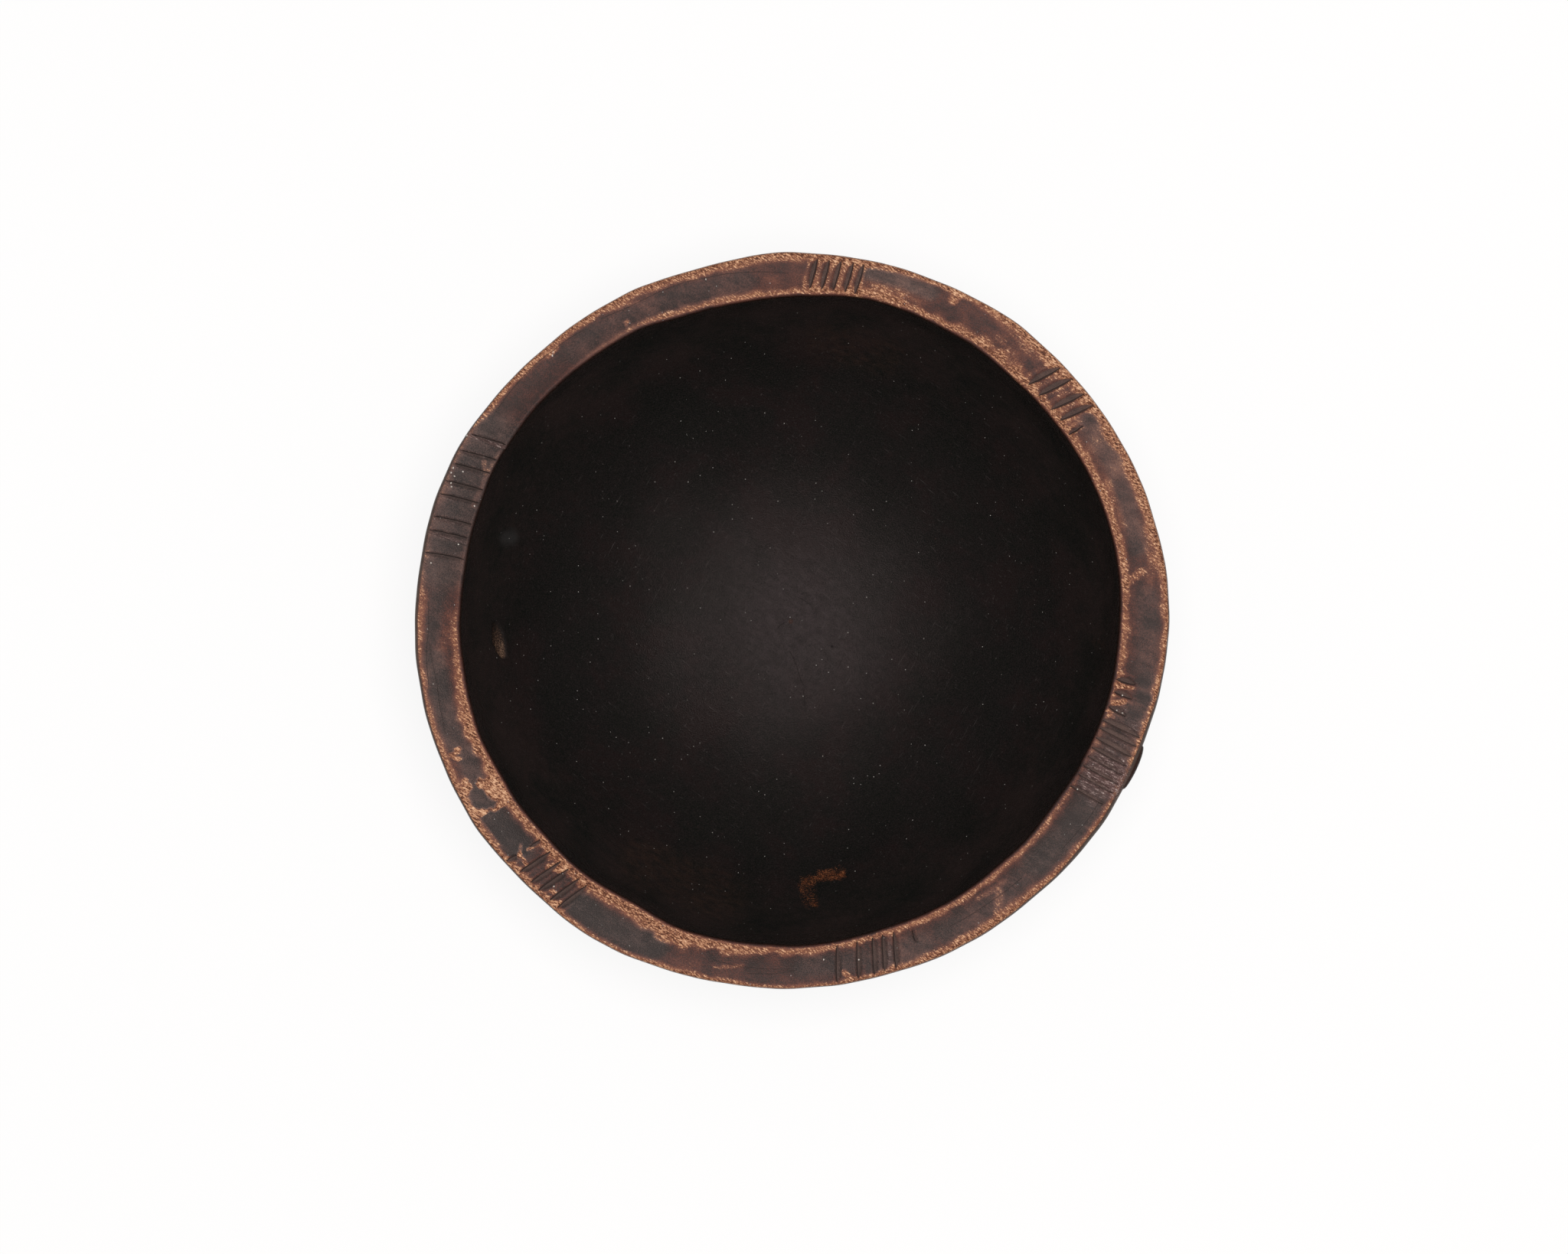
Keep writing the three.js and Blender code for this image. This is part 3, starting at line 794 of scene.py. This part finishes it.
for ring in range(ring_count - 1):
    zone = "wall" if ring < band_low else "rim" if ring < band_high else "hollow"
    shared = np.flatnonzero(ring_columns[ring] & ring_columns[ring + 1])
    ends = np.append(shared[1:], len(bearings))
    for start, end in zip(shared.tolist(), ends.tolist()):
        span = range(start, end + 1)
        wrapped = [column % len(bearings) for column in span]
        sides = []
        for level, order in ((ring, wrapped), (ring + 1, wrapped[::-1])):
            sides += [corner(level, column) for column in order if ring_columns[level, column]]
        add_face(sides, zone, int(bearings[start] // 90))
for ring, middle, closing, zone in (
    (0, foot_middle, -1, "wall"), (ring_count - 1, floor_middle, ring_count, "hollow"),
):
    own = np.flatnonzero(ring_columns[ring]).tolist()
    for start, end in zip(own, own[1:] + own[:1]):
        pair = [corner(ring, start), corner(ring, end)]
        pair = pair[::-1] if zone == "wall" else pair
        add_face(pair + [(middle, closing, start)], zone, 0)

mesh = bpy.data.meshes.new("dish")
mesh.from_pydata(vertices, [], faces)
mesh.shade_smooth()
layout = mesh.uv_layers.new(name="OFBake")
layout.data.foreach_set("uv", np.array(spots, np.float32).ravel())

# What the finish needs to know of each point. The dark polish of the walls begins at both edges
# of the rim, and the middle of the floor is rubbed the most. Its lighter colour there is also a
# painted sheen of the lamp above.
floor_wear_sheen_middle = 2.5 * mm
floor_wear_sheen_reach = 17 * mm
dark = 1 - smooth(from_inner, -.55 * mm, .38 * mm) * smooth(from_outer, -.05 * mm, .1 * mm)
dark = np.where(on_rim, dark, 1)
under_lip = smooth(arc - arc[lip_ring], .3 * mm, 2 * mm)
dark = np.where(in_hollow, np.maximum(dark, under_lip), dark)
# The grey strip on the outer edge, partly dark polish and partly a painted sheen.
polished = 1 - smooth(from_outer, polish_sheen_width - .1 * mm, polish_sheen_width + .15 * mm)
polished = np.where(on_rim, polished, 0)
# Where the floor is rubbed, and where its colour also carries a painted sheen of the lamp.
floor_far = np.hypot(x - floor_wear_sheen_middle, y) / floor_wear_sheen_reach
floor_far = floor_far * (1 + .12 * waves(x, y, 22 * mm, 5, 41))
floor_wear = np.where(in_hollow, np.exp(-floor_far ** 2), 0)
masks = {
    "worn": worn, "cut": in_cut, "valley": valley_now, "dull": in_cut * dull_now, "dark": dark,
    "polished": polished, "scored": scored, "score_off": score_off, "dent": dent,
    "dent_end": dent_end, "floor_wear": floor_wear, "scuffed": scuffed, "specked": specked,
    "smoked": smoked, "wall_rub": wall_rub, **marks,
}
for name, values in masks.items():
    values = np.broadcast_to(values, radii.shape)[ring_columns]
    mask = mesh.attributes.new(name, "FLOAT", "POINT")
    foot_and_floor = [0, values[-1] if name == "floor_wear" else 0]
    mask.data.foreach_set("value", np.append(values, foot_and_floor).astype(np.float32))
dish = bpy.data.objects.new("dish", mesh)
bpy.context.scene.collection.objects.link(dish)


# The finish
# Years of oil, smoke and handling have left a near-black polish inside and outside, and a thin
# red-brown one on the rim. Under it is tan wood with short dark pores along the grain.
class Shade:
    """An output of a shader's nodes. Arithmetic with it adds Math nodes beside it."""

    def __init__(self, tree, socket=None):
        self.tree = tree
        self.socket = socket

    def add(self, kind, settings=None, inputs=None, output=0):
        """Any node, by its type, its settings, the values or links of its inputs, and an output."""
        node = self.tree.nodes.new("ShaderNode" + kind)
        for name, value in (settings or {}).items():
            if name == "stops":
                while len(node.color_ramp.elements) < len(value):
                    node.color_ramp.elements.new(1)
                for element, (place, colour) in zip(node.color_ramp.elements, value):
                    element.position = place
                    element.color = (*colour, 1)
            else:
                setattr(node, name, value)
        for name, value in (inputs or {}).items():
            if isinstance(value, Shade):
                self.tree.links.new(value.socket, node.inputs[name])
            else:
                node.inputs[name].default_value = value
        return Shade(self.tree, node.outputs[output])

    def maths(self, operation, *terms):
        return self.add("Math", {"operation": operation}, dict(enumerate(terms)))

    def __add__(self, other):
        return self.maths("ADD", self, other)

    __radd__ = __add__

    def __sub__(self, other):
        return self.maths("SUBTRACT", self, other)

    def __rsub__(self, other):
        return self.maths("SUBTRACT", other, self)

    def __mul__(self, other):
        return self.maths("MULTIPLY", self, other)

    __rmul__ = __mul__

    def __abs__(self):
        return self.maths("ABSOLUTE", self)

    def between(self, low, high):
        """0 below low and 1 above high, eased between them."""
        ends = {"Value": self, "From Min": low, "From Max": high}
        return self.add("MapRange", {"interpolation_type": "SMOOTHSTEP"}, ends)

    def colours(self, *stops):
        return self.add("ValToRGB", {"stops": stops}, {"Fac": self})

    def mixed(self, first, second):
        """The first colour where this is 0, and the second where it is 1."""
        return self.add("Mix", {"data_type": "RGBA"}, {0: self, 6: first, 7: second}, 2)

    def vector(self, operation, other):
        return self.add("VectorMath", {"operation": operation}, {0: self, 1: other})


def new_material(name):
    """An empty material, and a Shade to add its nodes with."""
    material = bpy.data.materials.new(name)
    material.use_nodes = True
    material.node_tree.nodes.clear()
    return material, Shade(material.node_tree)


def show(paint, surface, kind="OutputMaterial"):
    """Joins a shader to the output of its material, or of the world."""
    output = paint.tree.nodes.new("ShaderNode" + kind)
    paint.tree.links.new(surface.socket, output.inputs["Surface"])


grain_heading = 147
dash_pitch = 0.28 * mm
dash_stretch = 2.6
streak_heading = grain_heading + 6
streak_pitch = 0.6 * mm
streak_stretch = 9
grit_pitch = 0.24 * mm
mottle_pitch = 1.4 * mm
mottle_stretch = 1.7
veil_pitch = 4.5 * mm
cloud_pitch = 13 * mm

wood, paint = new_material("dark_hardwood")
place = paint.add("TexCoord", output="Object")
height = paint.add("SeparateXYZ", None, {"Vector": place}, "Z")


def mask(name):
    """One of the values that each point of the skin has."""
    return paint.add("Attribute", {"attribute_name": name}, output="Fac")


def noise(vector, pitch, detail=2, roughness=.5):
    """Cloudy noise, about -1 to 1, whose clouds are about one pitch apart."""
    sizes = {"Vector": vector, "Scale": 1 / pitch, "Detail": detail, "Roughness": roughness}
    return (paint.add("TexNoise", None, sizes) - .5) * 3


def headed(vector, heading):
    """Places turned so that their X runs along a heading."""
    turned_by = {"Vector": vector, "Angle": -math.radians(heading)}
    return paint.add("VectorRotate", {"rotation_type": "Z_AXIS"}, turned_by)


def drawn_out(heading, stretch):
    """Places drawn out along a heading."""
    return headed(place, heading).vector("MULTIPLY", (1 / stretch, 1, 1))


worn_mask = mask("worn")
cut_mask = mask("cut")
dull_mask = mask("dull")
valley = mask("valley")
dark_mask = mask("dark")
scored_mask = mask("scored")
dent_mask = mask("dent")
floor_wear_sheen_mask = mask("floor_wear")
scuffed_mask = mask("scuffed")
patch_mask = mask("patch")
stain_mask = mask("stain")
knock_mask = mask("knock")

dashes = noise(drawn_out(grain_heading, dash_stretch), dash_pitch, 1.5, .6)
grit = noise(place, grit_pitch, 1.5, .6)
mottle = noise(drawn_out(grain_heading, mottle_stretch), mottle_pitch, 4, .62)
streaks = noise(drawn_out(streak_heading, streak_stretch), streak_pitch, 2, .6)
cloud = noise(place, cloud_pitch, 5, .55)
veil = noise(place, veil_pitch, 3, .5)

# The red-brown film of polish, with its smoky grey places, and the bare wood where it is rubbed.
flecks = .16 * mottle + .2 * grit + .3 * dashes + .08 * streaks
rubbed = worn_mask + flecks * (.35 + .65 * worn_mask.between(.2, .5))
clouded = .18 * mottle + .26 * grit + .06 * streaks + .18 * cloud + .12 * veil
stain = .03 + .8 * worn_mask + .75 * clouded
film = stain.colours(
    (0, (.032, .0225, .0205)), (.06, (.042, .0265, .0235)), (.14, (.060, .0305, .0265)),
    (.25, (.092, .039, .031)), (.38, (.145, .058, .040)), (.56, (.230, .092, .058)),
)
grey_film = stain.colours(
    (0, (.031, .0275, .0260)), (.06, (.043, .0355, .0330)), (.14, (.063, .0475, .0430)),
    (.25, (.090, .0635, .0560)), (.4, (.145, .094, .080)),
)
film = (mask("smoked") * (.8 + .25 * mottle + .15 * grit)).mixed(film, grey_film)
fresh = worn_mask.between(.95, 1.35)
pores = .46 + .76 * dashes + .32 * grit + .12 * streaks + .2 * fresh
bare_wood = pores.colours(
    (0, (.045, .016, .010)), (.28, (.115, .041, .022)), (.42, (.22, .086, .048)),
    (.58, (.36, .165, .092)), (.8, (.53, .275, .152)), (1, (.70, .42, .26)),
)
rim_colour = rubbed.between(.38, .76).mixed(film, bare_wood)
# The grey strip along the outer edge is partly dark polish and partly a painted sheen.
edge_polish_and_sheen = (.5 + .3 * grit + .3 * mottle).colours(
    (0, (.048, .034, .028)), (1, (.110, .078, .062)),
)
rim_colour = (mask("polished") * .85).mixed(rim_colour, edge_polish_and_sheen)

# In the cuts the wood is dull, and the pale scuffs over the rim are made of fine lines.
scuff_heading = 153
scuff_stretch = 4
scuff_pitch = 0.32 * mm
cut_colour = (.5 + .35 * grit + .35 * mottle).colours(
    (0, (.062, .043, .039)), (1, (.180, .115, .096)),
)
rim_colour = dull_mask.mixed(rim_colour, cut_colour)
scuff_lines = noise(drawn_out(scuff_heading, scuff_stretch), scuff_pitch, 1.5, .6)
pale_scuff = (.5 + .5 * scuff_lines + .3 * grit).colours(
    (.1, (.045, .024, .023)), (.55, (.105, .060, .055)), (.8, (.30, .21, .19)),
    (1, (.62, .52, .47)),
)
scuffs_shown = scuffed_mask * (.75 + .4 * scuff_lines) * (1 - .6 * cut_mask)
rim_colour = scuffs_shown.mixed(rim_colour, pale_scuff)

# One side of each cut is painted in shade, and a line of painted shade darkens its bottom.
cut_shade = (.028, .020, .018, 1)
cut_bottom_shade = (.010, .007, .006, 1)
valley_shade_line = 1 - abs(valley + .05 * grit + .07 * mottle).between(.03, .19)
valley_shade_line = valley_shade_line * cut_mask.between(.05, .4) * (1 - .5 * dull_mask + .2 * mottle)
rim_colour = (cut_mask * valley.between(-.05, .1) * .4).mixed(rim_colour, cut_shade)
rim_colour = valley_shade_line.mixed(rim_colour, cut_bottom_shade)

# The scored lines, the red fringe where the black of the walls begins, and the specks.
score_bottom = (.014, .010, .009, 1)
dark_fringe = (.026, .010, .006, 1)
pale_speck = (.62, .56, .50, 1)
score_line = (1 - abs(mask("score_off") + .06 * grit).between(.02, .16)) * scored_mask
rim_colour = (score_line * (.6 + .2 * mottle)).mixed(rim_colour, score_bottom)
uneven_dark = dark_mask * (1 + .7 * grit * (1 - dark_mask))
rim_colour = uneven_dark.between(0, .55).mixed(rim_colour, dark_fringe)
rim_colour = mask("specked").between(.66, .84).mixed(rim_colour, pale_speck)

# The hollow is a mottled black with a greyer, pitted floor and fine scratches. The floor's greyer
# middle is partly rubbed polish and partly a painted sheen of the lamp. Up to one height it has the
# look of the floor, and from another height on that of the wall below the lip, which is painted
# lighter, partly as its polish and partly as a painted reflection.
floor_look_top = 18 * mm
lip_look_bottom = 56 * mm
grimy = (.0135, .0108, .0102, 1)
pit_black = (.0030, .0024, .0024, 1)
scratch_grey = (.062, .052, .050, 1)
scratch_headings = (60, 18), (-38, 16)
scratch_pitch = 0.34 * mm
pit_pitch = 0.55 * mm

soot = (.5 + .8 * cloud + .3 * mottle).colours(
    (.25, (.0032, .0042, .0034)), (.5, (.0050, .0046, .0042)), (.8, (.0092, .0052, .0050)),
)
soot = (.5 + .6 * grit).between(.1, 1).mixed(soot, grimy)
scratches = 0
for way in scratch_headings:
    scratches = scratches + noise(drawn_out(*way), scratch_pitch, 2, .6).between(.4, .95)
pits = noise(place, pit_pitch, 2.5, .65).between(.3, 1.1)
# The rubbed middle of the floor, lightened also as a painted sheen of the lamp.
floor_polish_and_sheen = (.5 + .4 * grit + .35 * mottle).colours(
    (.1, (.0130, .0098, .0099)), (.5, (.0248, .0190, .0191)), (.95, (.0400, .0303, .0308)),
)
rubbed_floor_and_sheen = (floor_wear_sheen_mask * (.8 + .25 * mottle)).mixed(soot, floor_polish_and_sheen)
rubbed_floor_and_sheen = (pits * .65).mixed(rubbed_floor_and_sheen, pit_black)
# The wall below the lip: partly its polish, partly a painted reflection that lightens it.
lip_polish_and_reflection = (.5 + .5 * cloud + .3 * mottle + .2 * grit).colours(
    (.1, (.0135, .0140, .0125)), (.9, (.043, .029, .026)),
)
look = height.between(floor_look_top, lip_look_bottom)
hollow_colour = look.mixed(rubbed_floor_and_sheen, lip_polish_and_reflection)
hollow_colour = (scratches * (.5 + .4 * cloud)).mixed(hollow_colour, scratch_grey)

# The stains, the knock, the bare patch, and the dent with its bright end.
knock_grey = (.045, .043, .042, 1)
brown_stain = (.5 + .5 * mottle + .3 * grit).colours(
    (.2, (.016, .010, .008)), (.9, (.060, .030, .018)),
)
hollow_colour = (stain_mask * (.2 + .2 * mottle)).mixed(hollow_colour, brown_stain)
hollow_colour = (knock_mask * .5).mixed(hollow_colour, knock_grey)
bared = (patch_mask + .35 * mottle + .45 * grit).between(.4, 1.05)
patch_tone = .43 + .42 * grit + .35 * dashes
patch_colour = patch_tone.colours(
    (0, (.050, .017, .009)), (.55, (.15, .045, .018)), (1, (.36, .15, .065)),
)
hollow_colour = bared.mixed(hollow_colour, patch_colour)
dent_tone = .08 + .6 * mask("dent_end") + .7 * grit + .2 * mottle
dent_colour = dent_tone.colours(
    (0, (.010, .008, .007)), (.45, (.038, .021, .015)), (1, (.26, .155, .10)),
)
hollow_colour = (dent_mask.between(.1, .6) * .85).mixed(hollow_colour, dent_colour)

# A small black spot and some dark hairs on the floor. A hair is (x, y, heading, length), in
# millimetres and degrees.
spot_black = (.0020, .0012, .0012, 1)
spot_size = 0.45 * mm
spot_place = (8.7 * mm, -5.3 * mm, floor_thickness)
hairs_lying = [
    (-.3, -5.8, -69, 9), (2.6, -13.8, -84, 5.6), (-3.4, -1.8, 38, 3.2), (4.6, 3.4, 152, 4),
    (-6.2, -15.6, 8, 3.6), (9.6, -10.4, 64, 2.8),
]
hair_black = (.0022, .0016, .0016, 1)
hair_width = 0.1 * mm
hair_taper = 0.8
hair_bend = 0.25 * mm
hair_bend_pitch = 2.6 * mm
from_spot = paint.add("VectorMath", {"operation": "DISTANCE"}, {0: place, 1: spot_place}, "Value")
spot = (1 - from_spot.between(.4 * spot_size, spot_size)) * .9
hollow_colour = spot.mixed(hollow_colour, spot_black)
bend = hair_bend * noise(place, hair_bend_pitch, 2, .5)
hairs = 0
for hair_x, hair_y, heading, length in hairs_lying:
    from_end = headed(place.vector("SUBTRACT", (hair_x * mm, hair_y * mm, 0)), heading)
    along = paint.add("SeparateXYZ", None, {"Vector": from_end}, "X")
    off = paint.add("SeparateXYZ", None, {"Vector": from_end}, "Y")
    begun = along.between(0, hair_taper * mm)
    ended = along.between((length - hair_taper) * mm, length * mm)
    beside = abs(off + bend).between(.5 * hair_width, 1.4 * hair_width)
    hairs = hairs + (1 - beside) * (begun * (1 - ended))
hairs = hairs * (.7 + .25 * grit)
hollow_colour = hairs.mixed(hollow_colour, hair_black)

# The outside has the same black with its ridges rubbed brown, and pale dust lies everywhere.
rubbed_brown = (.075, .040, .025, 1)
dust_grey = (.46, .43, .40, 1)
dust_pitch = 1.35 * mm
dust_size = 0.09
dust_cells = {"Vector": place, "Scale": 1 / dust_pitch}
dust = paint.add("TexVoronoi", None, dust_cells, "Distance")
dust_draw = paint.add("TexVoronoi", None, dust_cells, "Color")
dust_draw = paint.add("SeparateColor", None, {"Color": dust_draw})
dusty = (1 - dust.between(dust_size * .5, dust_size)) * dust_draw.between(.58, .95)
wall_wear = mask("wall_rub") * (.75 + .35 * mottle + .2 * grit)
dark_colour = wall_wear.mixed(hollow_colour, rubbed_brown)
colour = uneven_dark.between(.5, 1).mixed(rim_colour, dark_colour)
colour = (dusty * .85).mixed(colour, dust_grey)

# The polish has a soft, slightly warm gloss, and the grain and the scratches stand out a little.
gloss_strength = 0.036
gloss_tint = (1, .8, .75, 1)
relief_strength = 0.4
relief_height = 0.08 * mm
roughness = .272 + .018 * mottle + .025 * grit + .04 * pits + .12 * spot + .1 * hairs
relief = rubbed * (1 - dark_mask) + grit * (.55 + .3 * dark_mask) + scratches * .3
show(paint, paint.add("BsdfPrincipled", None, {
    "Base Color": colour,
    "Roughness": roughness,
    "Specular IOR Level": gloss_strength,
    "Specular Tint": gloss_tint,
    "Normal": paint.add("Bump", None, {
        "Strength": relief_strength, "Distance": relief_height, "Height": relief,
    }),
}))
mesh.materials.append(wood)
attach(dish, "root")
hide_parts("bowl")

# The floor
# A plain white sheet that the dish stands on. To the eye and in reflections it is white paper,
# darker only in the dish's own soft shadow.
floor_half = 3
paper_colour = (.99, .94, .92, 1)
paper_glow = 0.85
white_light = (1, 1, 1, 1)
around_floor = ((-1, -1), (1, -1), (1, 1), (-1, 1))
floor_corners = [(right * floor_half, back * floor_half, 0) for right, back in around_floor]
floor_mesh = bpy.data.meshes.new("floor")
floor_mesh.from_pydata(floor_corners, [], [(0, 1, 2, 3)])
floor = bpy.data.objects.new("floor", floor_mesh)
bpy.context.scene.collection.objects.link(floor)


def seen_white(paint):
    """1 for rays from the camera, from gloss and through glass, and 0 for the light on things."""
    seen = 0
    for way in ("Is Camera Ray", "Is Glossy Ray", "Is Transmission Ray"):
        seen = paint.maths("MAXIMUM", seen, paint.add("LightPath", output=way))
    return seen


paper, paint = new_material("white_paper")
matt = paint.add("BsdfDiffuse", None, {"Color": paper_colour})
white = paint.add("Emission", None, {"Color": white_light, "Strength": 1})
show(paint, paint.add("MixShader", None, {0: seen_white(paint) * paper_glow, 1: matt, 2: white}))
floor_mesh.materials.append(paper)

# The light
# A round soft lamp hangs above the dish, and an even glow comes from all round.
lamp_size = 0.45
lamp_place = (.05, .02, 1.25)
lamp_power = 12.6
glow_strength = 0.25
lamp_data = bpy.data.lights.new("lamp", "AREA")
lamp_data.shape = "DISK"
lamp_data.size = lamp_size
lamp_data.energy = lamp_power
lamp = bpy.data.objects.new("lamp", lamp_data)
lamp.location = lamp_place
bpy.context.scene.collection.objects.link(lamp)

world = bpy.data.worlds.new("glow")
world.use_nodes = True
world.node_tree.nodes.clear()
paint = Shade(world.node_tree)
faint = paint.add("Background", None, {"Color": white_light, "Strength": glow_strength})
white = paint.add("Background", None, {"Color": white_light, "Strength": 1})
glow = paint.add("MixShader", None, {0: seen_white(paint), 1: faint, 2: white})
show(paint, glow, "OutputWorld")
bpy.context.scene.world = world
bpy.context.scene.view_settings.view_transform = "Standard"
